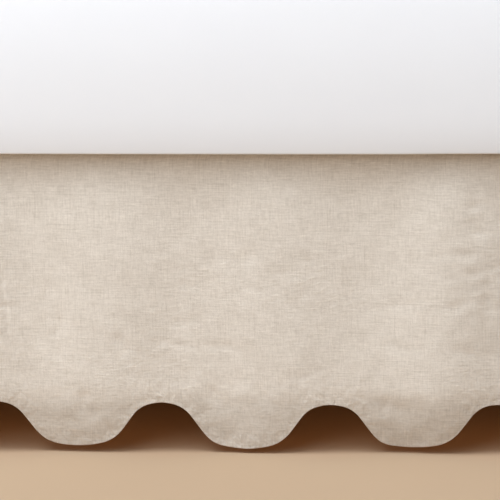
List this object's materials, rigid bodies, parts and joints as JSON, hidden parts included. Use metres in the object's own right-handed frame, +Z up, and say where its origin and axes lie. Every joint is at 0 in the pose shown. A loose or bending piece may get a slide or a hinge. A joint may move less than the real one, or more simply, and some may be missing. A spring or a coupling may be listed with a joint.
{
  "type": "bed skirt on a bed",
  "caption": "Tailored linen bed skirt with a scalloped hem, hanging on the sides and foot of a plain single bed between its base and its mattress.",
  "frame": {"origin": "on the floor, under the middle of the bed", "axes": "+X along the bed's length towards its open head end, +Y across the bed towards its far side, +Z up; the near side's panel faces -Y"},
  "size_m": [1.9146, 1.0006, 0.6273],
  "materials": {
    "skirt_linen": "slubby natural linen, matte",
    "deck_cotton": "plain woven cotton, matte",
    "mattress_sheet": "smooth white cotton sheet",
    "base_ticking": "close woven upholstery cloth",
    "leg_wood": "satin stained wood"
  },
  "bodies": {
    "root": {"panel_near": "skirt_linen", "panel_far": "skirt_linen", "panel_foot": "skirt_linen", "deck": "deck_cotton", "mattress": "mattress_sheet", "base": "base_ticking", "leg_1": "leg_wood", "leg_2": "leg_wood", "leg_3": "leg_wood", "leg_4": "leg_wood", "leg_5": "leg_wood", "leg_6": "leg_wood"}
  },
  "joints": []
}
